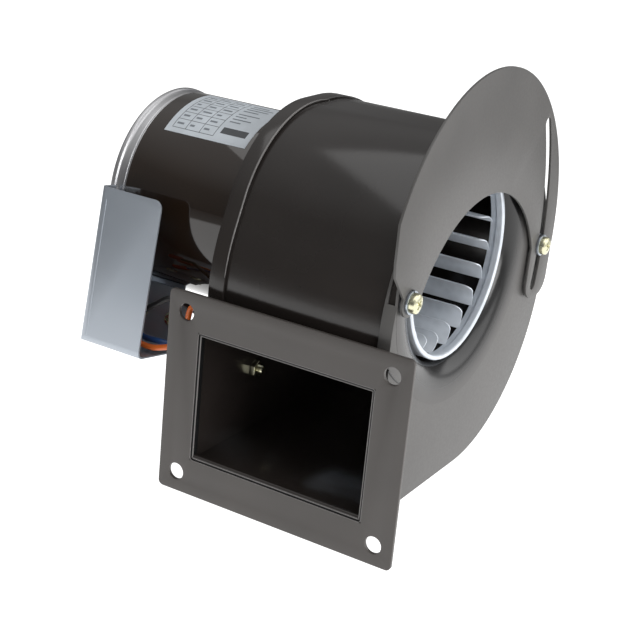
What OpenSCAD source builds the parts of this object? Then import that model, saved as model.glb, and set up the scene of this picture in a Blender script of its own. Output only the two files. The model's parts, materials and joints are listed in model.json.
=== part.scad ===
// Small centrifugal combustion blower: forward-curved wheel in a scroll housing,
// driven by an enclosed shaded-pole motor, with a swinging crescent air shutter.
// Millimetres. Origin: centre of the four outlet-flange holes on the flange's front face.
// -Y points out of the outlet, +X towards the inlet, +Z up. The fan axis runs along X.

/* [Outlet flange] */
// flange width along X
flange_w = 101.6; // [90:0.1:115]
// flange height along Z
flange_h = 80; // [70:0.1:95]
// flange sheet thickness
flange_t = 1.5; // [1:0.1:3]
// hole spacing along X
hole_sx = 86; // [75:0.1:100]
// hole spacing along Z
hole_sz = 64.4; // [55:0.1:80]
// hole radius
hole_r = 3.3; // [2:0.1:5]
// opening width along X
open_w = 74.4; // [60:0.1:85]
// opening height along Z
open_h = 51.2; // [40:0.1:65]

/* [Fan axis] */
// distance of the fan axis behind the flange face
axis_y = 61.5; // [50:0.1:80]
// height of the fan axis above the flange centre
axis_z = 57.3; // [45:0.1:75]

/* [Scroll] */
// sheet thickness of wrapper and side plates
sheet = 0.9; // [0.6:0.1:2]
// main scroll radius, outside of the wrapper
scroll_r = 65.3; // [55:0.1:75]
// main scroll centre, behind the fan axis
scroll_cy = 10.5; // [5:0.1:16]
// main scroll centre, below the fan axis
scroll_cz = -18.5; // [-25:0.1:-10]
// small scroll radius at the upper front
nose_r = 48.9; // [45:0.1:55]
// motor-side rim width
rim_m = 6.5; // [3:0.1:10]
// inlet-side rim width
rim_i = 5; // [3:0.1:10]

/* [Inlet] */
// throat radius of the rolled inlet
throat_r = 39.5; // [38.6:0.1:42]
// radius where the roll meets the flat plate
roll_r = 54; // [48:0.1:60]
// depth of the roll
roll_d = 6; // [3:0.1:9]

/* [Wheel] */
// outside radius of the end ring
wheel_r = 38.15; // [36:0.05:39]
// inner edge radius of the blades
blade_ri = 30; // [26:0.1:33]
// number of blades
blades = 20; // [16:1:36]
// blade sheet thickness
blade_t = 0.5; // [0.4:0.1:1]
// wheel back plate position along the axis
wheel_x0 = -24; // [-30:0.5:-15]
// front of the end ring along the axis
wheel_x1 = 35.1; // [30:0.1:36]

/* [Motor] */
// outside radius of the motor shell
shell_r = 39.5; // [36:0.1:43]
// shell sheet thickness
shell_t = 0.8; // [0.6:0.1:1.5]
// joint between the shell and the end cap
cap_x = -91.5; // [-96:0.1:-80]
// rear face of the end cap
rear_x = -98.5; // [-105:0.1:-92]
// radius of the end cap lip
lip_r = 40.4; // [38:0.1:44]
// rotor radius
rotor_r = 20; // [16:0.1:24]
// shaft radius
shaft_r = 3.175; // [2.5:0.005:5]
// radial running clearance in the bearings
run_c = 0.03; // [0.01:0.01:0.1]

/* [Air shutter] */
// shutter sheet thickness
shut_t = 1; // [0.8:0.1:2]
// inner face of the shutter along X
shut_x = 39.1; // [38.5:0.1:42]
// outer arc radius
shut_ro = 73.3; // [68:0.1:78]
// inner arc radius
shut_ri = 54.9; // [48:0.1:60]
// radius of the adjusting slot about the pivot
slot_r = 114.1; // [105:0.1:122]
// half width of the slot
slot_hw = 2.4; // [2.1:0.1:3]

/* [Hidden] */
$fn = 96;
e = 0.01;
pl_i = open_w/2;             // inner face of both side plates, 37.2
pl_o = pl_i + sheet;         // outer face of both side plates, 38.1
piv = [-48.5, -2.5];         // pivot screw from the fan axis, y z
clp = [65.5, -7];            // clamp screw from the fan axis, y z
nose_c = [-0.5, scroll_cz + scroll_r - nose_r];
scr_c = [scroll_cy, scroll_cz];
duct_zi = [-axis_z - open_h/2, -axis_z + open_h/2];
box_a = -9.3;                // tilt of the wiring box about the fan axis
grom_x = -45.3;              // lead grommet along the shell
grom_a = 68;                 // and round it, from the front downwards

c_house = [0.16, 0.14, 0.13];
c_zinc = [0.72, 0.75, 0.78];
c_steel = [0.62, 0.63, 0.65];
c_brass = [0.80, 0.72, 0.45];

// ---------- helpers ----------
module at_fan() { translate([0, axis_y, axis_z]) children(); }
// cylinder along X between x0 and x1 about (y, z)
module cx(r, x0, x1, y = 0, z = 0) { translate([x0, y, z]) rotate([0, 90, 0]) cylinder(h = x1 - x0, r = r); }
// tube along X
module tx(ro, ri, x0, x1, y = 0, z = 0) {
  difference() { cx(ro, x0, x1, y, z); cx(ri, x0 - 1, x1 + 1, y, z); }
}
// box between two corners
module bx(a, b) { translate(a) cube([b[0] - a[0], b[1] - a[1], b[2] - a[2]]); }
// prism along X from a list of (y, z) points
module px(p, x0, x1) { translate([x0, 0, 0]) multmatrix([[0, 0, 1, 0], [1, 0, 0, 0], [0, 1, 0, 0], [0, 0, 0, 1]]) linear_extrude(height = x1 - x0) polygon(p); }
// profile of (radius, x) points turned about the fan axis
module turn(p) { rotate([0, 90, 0]) rotate_extrude() polygon(p); }
// rod between two points
module rod(a, b, r) {
  d = b - a; l = norm(d);
  translate(a) rotate([0, acos(d[2]/l), atan2(d[1], d[0])]) cylinder(h = l, r = r);
}
// bent round lead: a ring of n points swept along a smooth curve through the points p
function curve(a, b, c, d, t) = 0.5*(2*b + (c - a)*t + (2*a - 5*b + 4*c - d)*t*t + (3*b - a - 3*c + d)*t*t*t);
function smooth(p, k) = concat([for (i = [0 : len(p) - 2], s = [0 : k - 1])
  curve(i == 0 ? 2*p[0] - p[1] : p[i-1], p[i], p[i+1], i == len(p) - 2 ? 2*p[i+1] - p[i] : p[i+2], s/k)], [p[len(p)-1]]);
function unit(v) = v/norm(v);
function carry(t, i, u) = i >= len(t) ? [] : let (w = unit(u - (u*t[i])*t[i])) concat([w], carry(t, i + 1, w));
module lead(p, r, k = 3, n = 8) {
  q = smooth(p, k); m = len(q);
  t = [for (i = [0 : m - 1]) unit(q[min(i + 1, m - 1)] - q[max(i - 1, 0)])];
  u = carry(t, 0, [0.31, 0.53, -0.79]);
  polyhedron(
    points = [for (i = [0 : m - 1], j = [0 : n - 1]) q[i] + r*cos(j*360/n)*u[i] + r*sin(j*360/n)*cross(t[i], u[i])],
    faces = concat([[for (j = [0 : n - 1]) j]], [[for (j = [n - 1 : -1 : 0]) (m - 1)*n + j]],
      [for (i = [0 : m - 2], j = [0 : n - 1]) [i*n + j, (i + 1)*n + j, (i + 1)*n + (j + 1)%n]],
      [for (i = [0 : m - 2], j = [0 : n - 1]) [i*n + j, (i + 1)*n + (j + 1)%n, i*n + (j + 1)%n]]));
}
// pan head screw along X, head towards +X when s = 1
module pan(x, y, z, s, rh, hh, rs, l) {
  translate([x, y, z]) rotate([0, s > 0 ? 90 : -90, 0]) difference() {
    union() {
      cylinder(h = hh*0.55, r = rh);
      translate([0, 0, hh*0.55]) cylinder(h = hh*0.45, r1 = rh, r2 = rh*0.72);
      translate([0, 0, -l]) cylinder(h = l, r = rs);
    }
    translate([-rh*0.55, -0.4, hh*0.45]) cube([rh*1.1, 0.8, hh]);
    translate([-0.4, -rh*0.55, hh*0.45]) cube([0.8, rh*1.1, hh]);
  }
}

// ---------- housing ----------
// filled outline of the scroll and duct, grown by g, from x0 to x1; duct runs out to y = yf
module scroll_body(g, x0, x1, yf) {
  t = 180 + acos((scroll_r - nose_r)/norm(scr_c - nose_c)) - 180;
  b = atan2(scr_c[1] - nose_c[1], scr_c[0] - nose_c[0]);
  a = b - (180 - t) ;           // direction of the left tangent's normal
  u = [cos(a), sin(a)];
  union() {
    cx(scroll_r + g, x0, x1, scr_c[0], scr_c[1]);
    cx(nose_r + g, x0, x1, nose_c[0], nose_c[1]);
    bx([x0, nose_c[0], nose_c[1]], [x1, scr_c[0], scr_c[1] + scroll_r + g]);
    px([nose_c, nose_c + (nose_r + g)*u, scr_c + (scroll_r + g)*u, scr_c], x0, x1);
    bx([x0, yf, duct_zi[0] - sheet - g], [x1, scr_c[0], duct_zi[1] + sheet + g]);
  }
}
// space taken by the rolled inlet on the wheel side, kept clear of the wrapper, the tongue and the pivot nut
module roll_space(g) turn(concat([[roll_r + g, pl_i + 1]],
  [for (i = [0:12]) let (u = i*7.5) [roll_r + g - (roll_r - throat_r - sheet)*sin(u), pl_i - g - (roll_d - sheet)*(1 - cos(u))]],
  [[throat_r + sheet + g, pl_i + 1]]));
// space under the outer surface of the roll
module roll_front(g) turn(concat([[roll_r + 3, pl_o - 7], [roll_r + 3, pl_o]],
  [for (i = [0:12]) let (u = i*7.5) [roll_r - (roll_r - throat_r)*sin(u), pl_o + g - roll_d*(1 - cos(u))]],
  [[throat_r - 0.5, pl_o - 7]]));
module scroll_wrapper() color(c_house) at_fan() difference() {
  scroll_body(0, -pl_i, pl_i, -axis_y + flange_t);
  roll_space(0.05);
  scroll_body(-sheet, -pl_i - 1, pl_i + 1, -axis_y - 1);
}
module motor_side_plate() color(c_house) at_fan() difference() {
  union() {
    scroll_body(0, -pl_o, -pl_i, -axis_y + flange_t);
    difference() {
      scroll_body(sheet, -pl_o, -pl_o + rim_m, -axis_y + flange_t);
      scroll_body(0, -pl_o + sheet, -pl_o + rim_m + 1, -axis_y);
      scroll_body(0, -pl_o - 1, -pl_o + sheet + e, -axis_y);
    }
  }
  cx(14, -pl_o - 1, -pl_i + 1);
  for (k = [0:2]) rotate([120*k + 30, 0, 0]) cx(2.2, -pl_o - 1, -pl_i + 1, 0, 27);
  cx(2.2, -pl_o - 1, -pl_i + 1, -21, -57.6);
}
module inlet_side_plate() color(c_house) at_fan() difference() {
  union() {
    difference() {
      union() {
        scroll_body(0, pl_i, pl_o, -axis_y + flange_t);
        difference() {
          scroll_body(sheet, pl_o - rim_i, pl_o, -axis_y + flange_t);
          scroll_body(0, pl_o - rim_i - 1, pl_o + 1, -axis_y);
        }
      }
      cx(roll_r, pl_i - 3, pl_o + 1);
    }
    turn(concat(
      [for (i = [0:12]) let (u = i*7.5) [roll_r - (roll_r - throat_r)*sin(u), pl_o - roll_d*(1 - cos(u))]],
      [for (i = [12:-1:0]) let (u = i*7.5) [roll_r - (roll_r - throat_r - sheet)*sin(u), pl_i - (roll_d - sheet)*(1 - cos(u))]]));
  }
  cx(2.15, pl_i - 1, pl_o + 1, piv[0], piv[1]);
  cx(2.15, pl_i - 1, pl_o + 1, clp[0], clp[1]);
}
module outlet_flange() color(c_house) difference() {
  union() {
    bx([-flange_w/2, 0, -flange_h/2 + 2], [flange_w/2, flange_t, flange_h/2 - 2]);
    bx([-flange_w/2 + 2, 0, -flange_h/2], [flange_w/2 - 2, flange_t, flange_h/2]);
    for (sx = [-1, 1], sz = [-1, 1]) translate([sx*(flange_w/2 - 2), flange_t, sz*(flange_h/2 - 2)]) rotate([90, 0, 0]) cylinder(h = flange_t, r = 2);
  }
  bx([-open_w/2, -1, -open_h/2], [open_w/2, flange_t + 1, open_h/2]);
  for (sx = [-1, 1], sz = [-1, 1]) translate([sx*hole_sx/2, flange_t + 1, sz*hole_sz/2]) rotate([90, 0, 0]) cylinder(h = flange_t + 2, r = hole_r);
}
module cutoff_tongue() color(c_house) at_fan() difference() {
  px([[-54, duct_zi[1]], [-39.5, duct_zi[1] - 1.2], [-19.6, -46.6], [-20.1, -47.3], [-39.8, duct_zi[1] - 2.1], [-54, duct_zi[1] - 0.9]], -pl_i, pl_i);
  roll_space(0.05);
}

// ---------- motor ----------
module motor_shell() color([0.10, 0.07, 0.06]) at_fan() difference() {
  cx(shell_r, cap_x, -pl_o);
  cx(shell_r - shell_t, cap_x - 1, -pl_o - shell_t);
  cx(12.6, -pl_o - 2, -pl_o + 1);
  for (k = [0:2]) rotate([120*k + 30, 0, 0]) cx(2.2, -pl_o - 2, -pl_o + 1, 0, 27);
  rotate([grom_a, 0, 0]) translate([grom_x, -shell_r - 2, 0]) rotate([-90, 0, 0]) cylinder(h = 8, r = 5);
}
module motor_end_cap() color(c_steel) at_fan() difference() {
  union() {
    cx(shell_r - 0.1, rear_x + 1.6, cap_x);
    cx(lip_r, rear_x + 0.6, rear_x + 2.6);
    cx(lip_r - 1.2, rear_x, rear_x + 1);
    cx(shell_r - shell_t, cap_x - 1, cap_x + 3);
  }
  cx(shell_r - shell_t - 0.9, rear_x + 1.8, cap_x + 4);
  cx(36.4, rear_x - 1, rear_x + 0.9);
}
pole_h = 15;
module stator_core() color([0.35, 0.36, 0.38]) at_fan() difference() {
  union() {
    tx(shell_r - shell_t, 31, -78, -52);
    intersection() {
      tx(31.5, rotor_r + 0.4, -78, -52);
      union() {
        for (k = [0:3]) rotate([90*k + 45, 0, 0]) bx([-79, -pole_h/2, 0], [-51, pole_h/2, 33]);
        for (k = [0:3]) rotate([90*k + 45, 0, 0]) intersection() {
          tx(23.2, rotor_r, -79, -51);
          bx([-79, -13, 0], [-51, 13, 33]);
        }
      }
    }
  }
  for (k = [0:3]) rotate([90*k + 45, 0, 0]) bx([-80, 8.6, 19], [-50, 9.6, 22.1]);
}
module stator_coils() color([0.62, 0.28, 0.12]) at_fan() for (k = [0:3]) rotate([90*k + 45, 0, 0]) difference() {
  bx([-83, -11.8, 24.8], [-47, 11.8, 28.6]);
  bx([-79.2, -8.6, 20], [-50.8, 8.6, 33]);
}
module coil_insulators() color([0.85, 0.83, 0.76]) at_fan() for (k = [0:3]) rotate([90*k + 45, 0, 0]) difference() {
  union() {
    bx([-79.2, -8.6, 23.9], [-50.8, 8.6, 29.4]);
    bx([-83.4, -12.2, 23.9], [-46.6, 12.2, 24.8]);
    bx([-83.4, -9.5, 28.6], [-46.6, 9.5, 29.4]);
  }
  bx([-78, -pole_h/2, 20], [-52, pole_h/2, 33]);
}
module shading_rings() color([0.72, 0.42, 0.25]) at_fan() for (k = [0:3]) rotate([90*k + 45, 0, 0])
  for (x = [-79.4, -51.9]) bx([x, 5.6, 20.9], [x + 1.3, 9.5, 22.1]);
module bearing_front() color([0.70, 0.52, 0.30]) at_fan() tx(7, shaft_r + run_c, -47, -39);
module bearing_rear() color([0.70, 0.52, 0.30]) at_fan() tx(7, shaft_r + run_c, -96, -88);
module bearing_retainers() color(c_zinc) at_fan() {
  difference() { cx(12.6, -47, -pl_o); cx(11, -46, -pl_o + 1); cx(7, -48, -pl_o + 1); }
  difference() { cx(12.6, rear_x + 1.8, -88); cx(11, rear_x + 1.2, -89); cx(7, rear_x + 1, -87); }
}
module oil_wicks() color([0.86, 0.80, 0.66]) at_fan() { tx(11, 7, -46, -39); tx(11, 7, -96, -89); }
module motor_mount_screws() color(c_brass) at_fan() for (k = [0:2]) rotate([120*k + 30, 0, 0]) pan(-pl_i, 0, 27, 1, 3.6, 2.4, 2.05, 5.6);
module motor_mount_nuts() color(c_zinc) at_fan() for (k = [0:2]) rotate([120*k + 30, 0, 0]) translate([-pl_o - shell_t - 3, 0, 27]) rotate([0, 90, 0]) difference() {
  cylinder(h = 3, r = 4.4, $fn = 6);
  translate([0, 0, -1]) cylinder(h = 5, r = 2.05);
}

// ---------- rotor and wheel ----------
module motor_shaft() color(c_steel) at_fan() difference() {
  cx(shaft_r, -95.4, -7);
  bx([-18, -4, 2.6], [-6, 4, 4]);
}
module rotor_core() color([0.40, 0.41, 0.43]) at_fan() tx(rotor_r, shaft_r, -79, -51);
module rotor_end_rings() color([0.78, 0.79, 0.80]) at_fan() {
  tx(19.6, 12, -83, -79);
  tx(19.6, 12, -51, -47.6);
}
module thrust_washers() color([0.90, 0.88, 0.82]) at_fan() { tx(6, shaft_r, -48.4, -47.4); tx(6, shaft_r, -87.6, -86.6); }
module wheel_hub() color(c_zinc) at_fan() difference() {
  union() { cx(9, wheel_x0 + 0.8, -11); cx(6.5, wheel_x0 - 1.6, wheel_x0 + 0.8); }
  cx(shaft_r, wheel_x0 - 3, -10);
  bx([-18, -1.2, 2.6], [-10, 1.2, 3.19]);
  translate([-15.5, 0, 0]) cylinder(h = 12, r = 2);
}
module wheel_set_screw() color([0.15, 0.15, 0.16]) at_fan() translate([-15.5, 0, 2.6]) difference() {
  cylinder(h = 6, r = 2);
  translate([0, 0, 4.2]) cylinder(h = 3, r = 1.15, $fn = 6);
}
module wheel_back_plate() color(c_zinc) at_fan() difference() {
  union() { cx(wheel_r - 0.15, wheel_x0, wheel_x0 + 0.8); tx(wheel_r - 0.15, wheel_r - 0.85, wheel_x0, wheel_x0 + 4); }
  cx(6.5, wheel_x0 - 1, wheel_x0 + 2);
  for (k = [0:3]) rotate([90*k, 0, 0]) cx(3, wheel_x0 - 1, wheel_x0 + 2, 0, 20);
}
// centre line of one blade: radius grows from blade_ri to the ring, sweeping forward
bl_ro = wheel_r - 0.95;
function bl(t, s) = let (r = blade_ri + (bl_ro - blade_ri)*t, a = -8*t*t)
  [r*cos(a) - s*blade_t/2*sin(a - 10*t), r*sin(a) + s*blade_t/2*cos(a - 10*t)];
module wheel_blades() color(c_zinc) at_fan() difference() {
  for (k = [0 : blades - 1]) rotate([k*360/blades, 0, 0])
    px(concat([for (i = [0:4]) bl(i/4, 1)], [for (i = [4:-1:0]) bl(i/4, -1)]), wheel_x0 + 0.8, 30.4);
  turn(concat([[0, 32], [36.9, 32], [36.9, 30.6]], [for (i = [0:5]) [33.5 - 3.5*sin(i*18), 26.9 + 3.7*cos(i*18)]], [[0, 26.9]]));
}
module wheel_end_ring() color(c_zinc) at_fan() turn([[wheel_r - 0.95, 29.4], [wheel_r, 29.4], [wheel_r, wheel_x1], [wheel_r - 1.9, wheel_x1], [wheel_r - 1.9, 32.4], [wheel_r - 1.4, 31.9], [wheel_r - 0.95, 31.4]]);

// ---------- air shutter ----------
module shutter_plate() color([0.30, 0.29, 0.28]) at_fan() difference() {
  union() {
    difference() {
      cx(shut_ro, shut_x, shut_x + shut_t, 5, -1);
      cx(shut_ri, shut_x - 1, shut_x + shut_t + 1, 7.25, -30);
      px([[-90, 14], [-62.4, 14], [-61.6, 9], [-53, -1], [-53, -4], [-30, -4], [-30, -90], [-90, -90]], shut_x - 1, shut_x + shut_t + 1);
      px([[-31, -90], [-31, -6], [20, -34], [56.6, -22], [90, -22], [90, -90]], shut_x - 1, shut_x + shut_t + 1);
      bx([shut_x - 1, -90, 14], [shut_x + shut_t + 1, -62.4, 40]);
    }
    cx(5.6, shut_x, shut_x + shut_t, piv[0], piv[1]);
    px([[50, 6], [57, -6], [56.6, -22], [77, -22], [77.5, -12], [70, 6]], shut_x, shut_x + shut_t);
    cx(7.5, shut_x, shut_x + shut_t, 64.1, -22);
    cx(7.5, shut_x, shut_x + shut_t, 69.5, -22);
    bx([shut_x, 64.1, -29.5], [shut_x + shut_t, 69.5, -16]);
  }
  cx(2.05, shut_x - 1, shut_x + shut_t + 1, piv[0], piv[1]);
  // adjusting slot: an arc about the pivot, from -10.6 to 24.5 degrees
  translate([0, piv[0], piv[1]]) {
    intersection() {
      tx(slot_r + slot_hw, slot_r - slot_hw, shut_x - 1, shut_x + shut_t + 1);
      px([[0, 0], 150*[cos(-10.6), sin(-10.6)], 160*[cos(6), sin(6)], 150*[cos(24.5), sin(24.5)]], shut_x - 2, shut_x + shut_t + 2);
    }
    for (a = [-10.6, 24.5]) cx(slot_hw, shut_x - 1, shut_x + shut_t + 1, slot_r*cos(a), slot_r*sin(a));
  }
}
module shutter_screws() color(c_brass) at_fan() for (q = [piv, clp]) pan(shut_x + shut_t + 1.1, q[0], q[1], 1, 3.7, 2.6, 2, 8);
module shutter_washers() color(c_zinc) at_fan() for (q = [piv, clp]) difference() {
  cx(4.4, shut_x + shut_t + 0.05, shut_x + shut_t + 1.1, q[0], q[1]);
  cx(2, shut_x, shut_x + 5, q[0], q[1]);
}
module shutter_spacers() color(c_zinc) at_fan() for (q = [piv, clp]) difference() {
  cx(q[0] < 0 ? 3.6 : 4.4, q[0] < 0 ? pl_o - 1.4 : pl_o, shut_x - 0.05, q[0], q[1]);
  cx(2, pl_i - 1, shut_x + 1, q[0], q[1]);
  if (q[0] < 0) roll_front(0.02);
}
module shutter_nuts() color(c_zinc) at_fan() for (q = [piv, clp]) difference() {
  cx(2.9, pl_i - 3.4, pl_i, q[0], q[1]);
  cx(2, pl_i - 5, pl_i + 1, q[0], q[1]);
  if (q[0] < 0) roll_space(0.03);
}

// ---------- wiring box, leads, label ----------
module wiring_box() color(c_zinc) at_fan() rotate([box_a, 0, 0]) difference() {
  union() {
    // front panel, floor, rear wall, back wall
    bx([-95.5, -49.8, -60.4], [-66, -49, 1.2]);
    bx([-95.5, -49.8, -60.4], [-66, -20, -59.6]);
    bx([-95.5, -49.8, -60.4], [-94.7, -20, 1.2]);
    bx([-95.5, -20.8, -60.4], [-66, -20, -36.2]);
  }
  cx(lip_r + 0.3, -100, -60);
  // rounded free corner of the front panel
  difference() {
    bx([-69.5, -52, -2.3], [-65, -48, 2]);
    translate([-69.5, -47, -2.3]) rotate([90, 0, 0]) cylinder(h = 6, r = 3.5);
  }
  for (x = [-88, -73]) translate([x, -18, -49]) rotate([90, 0, 0]) cylinder(h = 5, r = 1.75);
}
module wiring_bracket() color(c_zinc) at_fan() rotate([box_a, 0, 0]) difference() {
  bx([-91, -20, -54], [-70, -18.8, -34.3]);
  cx(shell_r, -100, -60);
  for (x = [-88, -73]) translate([x, -16, -49]) rotate([90, 0, 0]) cylinder(h = 5, r = 1.7);
}
module wiring_box_screws() color(c_brass) at_fan() rotate([box_a, 0, 0]) for (x = [-88, -73]) translate([x, -20.8, -49]) rotate([90, 0, 0]) difference() {
  union() { cylinder(h = 1.1, r = 3); translate([0, 0, 1.1]) cylinder(h = 0.9, r1 = 3, r2 = 2.1); translate([0, 0, -5.5]) cylinder(h = 5.5, r = 1.7); }
  translate([-1.7, -0.35, 1]) cube([3.4, 0.7, 2]);
  translate([-0.35, -1.7, 1]) cube([0.7, 3.4, 2]);
}
module lead_grommet() color([0.05, 0.05, 0.05]) at_fan() rotate([grom_a, 0, 0]) translate([grom_x, -shell_r - 1.6, 0]) rotate([-90, 0, 0]) difference() {
  union() { cylinder(h = 4.6, r = 5); cylinder(h = 1.2, r = 6.4); translate([0, 0, 3.2]) cylinder(h = 1.4, r = 6); }
  for (a = [0:2]) rotate([0, 0, 120*a + 30]) translate([0, 2.2, -1]) cylinder(h = 8, r = 1.2);
}
// lead exits, in the grommet's frame, carried to the fan frame
function gr(a, out) = let (y0 = -shell_r - 1.6 + out, dx = -2.2*sin(120*a + 30), dz = -2.2*cos(120*a + 30))
  [grom_x + dx, y0*cos(grom_a) - dz*sin(grom_a), y0*sin(grom_a) + dz*cos(grom_a)];
module lead_orange() color([0.90, 0.38, 0.10]) at_fan()
  lead([gr(1, 6), gr(1, 3), gr(1, 0), gr(1, -2.5), [-45.6, -21.5, -45.5], [-45.4, -29, -47], [-45.4, -37, -42.5], [-46, -42.6, -34.5], [-47.6, -45.6, -29.2], [-50.8, -47, -29.2], [-52.2, -47, -34], [-52.8, -46.6, -40], [-55.8, -46.8, -45.6], [-62, -47.6, -48.3], [-68, -48, -49.8], [-74, -47.6, -49.7], [-78.5, -46.9, -49.1], [-81.5, -46.4, -48.7]], 1.15);
module lead_black() color([0.04, 0.04, 0.04]) at_fan()
  lead([gr(0, 6), gr(0, 3), gr(0, 0), gr(0, -2.5), [-49, -19, -45.5], [-53.5, -26.5, -42], [-59, -34.5, -35.5], [-65, -40.2, -31], [-71, -43.4, -34.5], [-76, -44.6, -38], [-80, -45, -39.8], [-83, -45.1, -40.6]], 1.15);
module lead_blue() color([0.08, 0.20, 0.55]) at_fan()
  lead([gr(2, 6), gr(2, 3), gr(2, 0), gr(2, -2.5), [-44.5, -21, -48.5], [-47, -27, -53], [-53, -34, -53.2], [-60, -41, -49.4], [-67, -44.5, -48], [-75, -42, -49.5], [-81, -39.3, -49.8], [-84, -38, -50]], 1.15);
module wire_connectors() color([0.75, 0.12, 0.10]) at_fan() {
  difference() { rod([-79.5, -46.73, -48.97], [-89, -45.2, -47.7], 2.4); rod([-78, -46.98, -49.17], [-81.8, -46.35, -48.66], 1.3); }
  difference() { rod([-81, -45.03, -40.07], [-90.5, -45.35, -42.6], 2.4); rod([-79.5, -44.98, -39.67], [-83.3, -45.11, -40.68], 1.3); }
  difference() { rod([-82, -38.87, -49.87], [-91, -34.97, -50.47], 2.4); rod([-80.5, -39.52, -49.77], [-84.3, -37.87, -50.02], 1.3); }
}
module ground_screw() color(c_brass) at_fan() pan(-pl_o, -21, -57.6, -1, 3.6, 2.4, 2.05, 5.4);
module ground_nut() color(c_brass) at_fan() translate([-pl_i, -21, -57.6]) rotate([0, 90, 0]) difference() {
  cylinder(h = 2.2, r = 3.6, $fn = 6);
  translate([0, 0, -1]) cylinder(h = 5, r = 2.05);
}
module motor_label() color([0.86, 0.87, 0.88]) at_fan() intersection() {
  tx(shell_r + 0.12, shell_r, -84, -46.5);
  px([[0, 0], 60*[cos(84), sin(84)], 70*[cos(108), sin(108)], 60*[cos(131), sin(131)]], -86, -44);
}

scroll_wrapper();
motor_side_plate();
inlet_side_plate();
outlet_flange();
cutoff_tongue();
motor_shell();
motor_end_cap();
stator_core();
stator_coils();
coil_insulators();
shading_rings();
bearing_front();
bearing_rear();
bearing_retainers();
oil_wicks();
motor_mount_screws();
motor_mount_nuts();
motor_shaft();
rotor_core();
rotor_end_rings();
thrust_washers();
wheel_hub();
wheel_set_screw();
wheel_back_plate();
wheel_blades();
wheel_end_ring();
shutter_plate();
shutter_screws();
shutter_washers();
shutter_spacers();
shutter_nuts();
wiring_box();
wiring_bracket();
wiring_box_screws();
lead_grommet();
lead_orange();
lead_black();
lead_blue();
wire_connectors();
ground_screw();
ground_nut();
motor_label();
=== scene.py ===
import json
import math
import random

import bmesh
import bpy
from mathutils import Matrix, Vector


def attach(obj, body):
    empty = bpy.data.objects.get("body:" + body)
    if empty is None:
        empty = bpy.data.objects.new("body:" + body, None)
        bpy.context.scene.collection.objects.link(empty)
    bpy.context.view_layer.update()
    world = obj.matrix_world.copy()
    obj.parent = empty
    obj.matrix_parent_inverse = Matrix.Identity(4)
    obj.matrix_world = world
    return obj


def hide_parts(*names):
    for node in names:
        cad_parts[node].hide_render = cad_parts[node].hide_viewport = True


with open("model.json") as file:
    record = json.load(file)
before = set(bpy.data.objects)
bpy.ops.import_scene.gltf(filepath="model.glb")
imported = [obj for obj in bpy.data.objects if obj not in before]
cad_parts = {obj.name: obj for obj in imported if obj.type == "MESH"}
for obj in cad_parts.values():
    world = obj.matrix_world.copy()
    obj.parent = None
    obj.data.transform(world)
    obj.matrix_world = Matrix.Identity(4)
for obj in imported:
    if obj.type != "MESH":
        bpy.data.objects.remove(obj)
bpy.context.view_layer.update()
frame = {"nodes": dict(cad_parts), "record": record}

NODES = frame["nodes"]
RECORD = frame["record"]
BODY_OF = {n: b for b, ns in RECORD["behaviour"]["bodies"].items() for n in ns}
SLOT_OF = {s["node"]: s["material_slot"] for s in RECORD["subparts"]}
MM = 0.001
AY, AZ = 61.5, 57.3            # the fan axis in the row frame, mm
random.seed(11)


# ------------------------------------------------------------------ materials
def new_mat(name):
    m = bpy.data.materials.new(name)
    m.use_nodes = True
    t = m.node_tree
    t.nodes.clear()
    out = t.nodes.new("ShaderNodeOutputMaterial")
    b = t.nodes.new("ShaderNodeBsdfPrincipled")
    t.links.new(b.outputs[0], out.inputs[0])
    return m, t, b


def coords(t, scale=(1, 1, 1), rot=(0, 0, 0)):
    tc = t.nodes.new("ShaderNodeTexCoord")
    mp = t.nodes.new("ShaderNodeMapping")
    mp.inputs["Scale"].default_value = scale
    mp.inputs["Rotation"].default_value = rot
    t.links.new(tc.outputs["Object"], mp.inputs["Vector"])
    return mp.outputs[0]


def noise(t, vec, scale, detail=4.0, rough=0.55, dist=0.0):
    n = t.nodes.new("ShaderNodeTexNoise")
    n.inputs["Scale"].default_value = scale
    n.inputs["Detail"].default_value = detail
    n.inputs["Roughness"].default_value = rough
    n.inputs["Distortion"].default_value = dist
    t.links.new(vec, n.inputs["Vector"])
    return n.outputs["Fac"]


def ramp(t, fac, stops):
    r = t.nodes.new("ShaderNodeValToRGB")
    e = r.color_ramp.elements
    while len(e) < len(stops):
        e.new(0.5)
    for i, (p, c) in enumerate(stops):
        e[i].position = p
        e[i].color = (c[0], c[1], c[2], 1.0) if hasattr(c, "__len__") else (c, c, c, 1.0)
    t.links.new(fac, r.inputs["Fac"])
    return r.outputs["Color"]


def to_range(t, fac, lo, hi, a=0.3, b=0.7):
    n = t.nodes.new("ShaderNodeMapRange")
    n.inputs["From Min"].default_value = a
    n.inputs["From Max"].default_value = b
    n.inputs["To Min"].default_value = lo
    n.inputs["To Max"].default_value = hi
    t.links.new(fac, n.inputs["Value"])
    return n.outputs["Result"]


def mix_col(t, fac, a, b):
    m = t.nodes.new("ShaderNodeMix")
    m.data_type = "RGBA"
    for sock, v in ((0, fac), (6, a), (7, b)):
        if hasattr(v, "links") or hasattr(v, "is_linked"):
            t.links.new(v, m.inputs[sock])
        elif hasattr(v, "__len__"):
            m.inputs[sock].default_value = (v[0], v[1], v[2], 1.0)
        else:
            m.inputs[sock].default_value = v
    return m.outputs[2]


def bump(t, b, height, strength, dist, normal=None):
    n = t.nodes.new("ShaderNodeBump")
    n.inputs["Strength"].default_value = strength
    n.inputs["Distance"].default_value = dist
    t.links.new(height, n.inputs["Height"])
    if normal is not None:
        t.links.new(normal, n.inputs["Normal"])
    t.links.new(n.outputs[0], b.inputs["Normal"])
    return n.outputs[0]


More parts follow.
